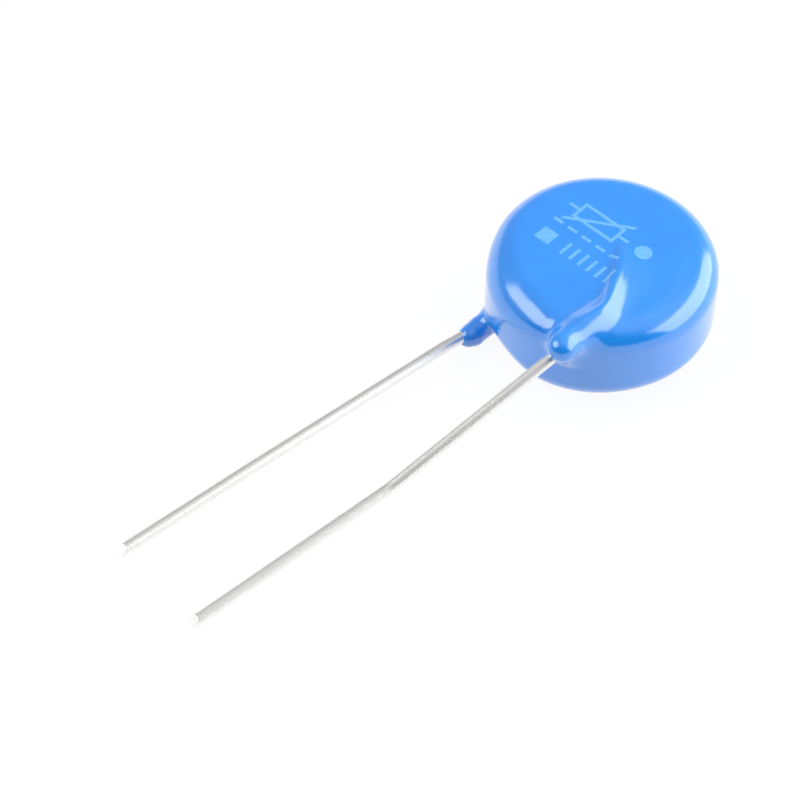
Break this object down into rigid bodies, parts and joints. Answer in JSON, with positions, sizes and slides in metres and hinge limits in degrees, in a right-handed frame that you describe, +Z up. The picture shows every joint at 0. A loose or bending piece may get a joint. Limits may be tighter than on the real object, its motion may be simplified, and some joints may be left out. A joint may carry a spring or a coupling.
{
  "type": "metal oxide varistor",
  "caption": "Disc varistor dipped in blue epoxy, lying flat, with two straight tinned leads leaving one side of its rim.",
  "frame": {"origin": "on the table, under the middle of the whole outline", "axes": "+Z up, the leads run towards -Y, and the front lead is on the +X side"},
  "size_m": [0.0154, 0.045, 0.0079],
  "materials": {
    "epoxy": "glossy dipped epoxy",
    "ceramic": "sintered zinc oxide",
    "silver": "fired silver, satin",
    "tinned_copper": "bright drawn tin plate",
    "solder": "satin solder"
  },
  "bodies": {
    "root": {"epoxy_coating": "epoxy", "ceramic_disc": "ceramic", "front_electrode": "silver", "back_electrode": "silver", "front_lead": "tinned_copper", "back_lead": "tinned_copper", "front_solder": "solder", "back_solder": "solder"}
  },
  "joints": []
}
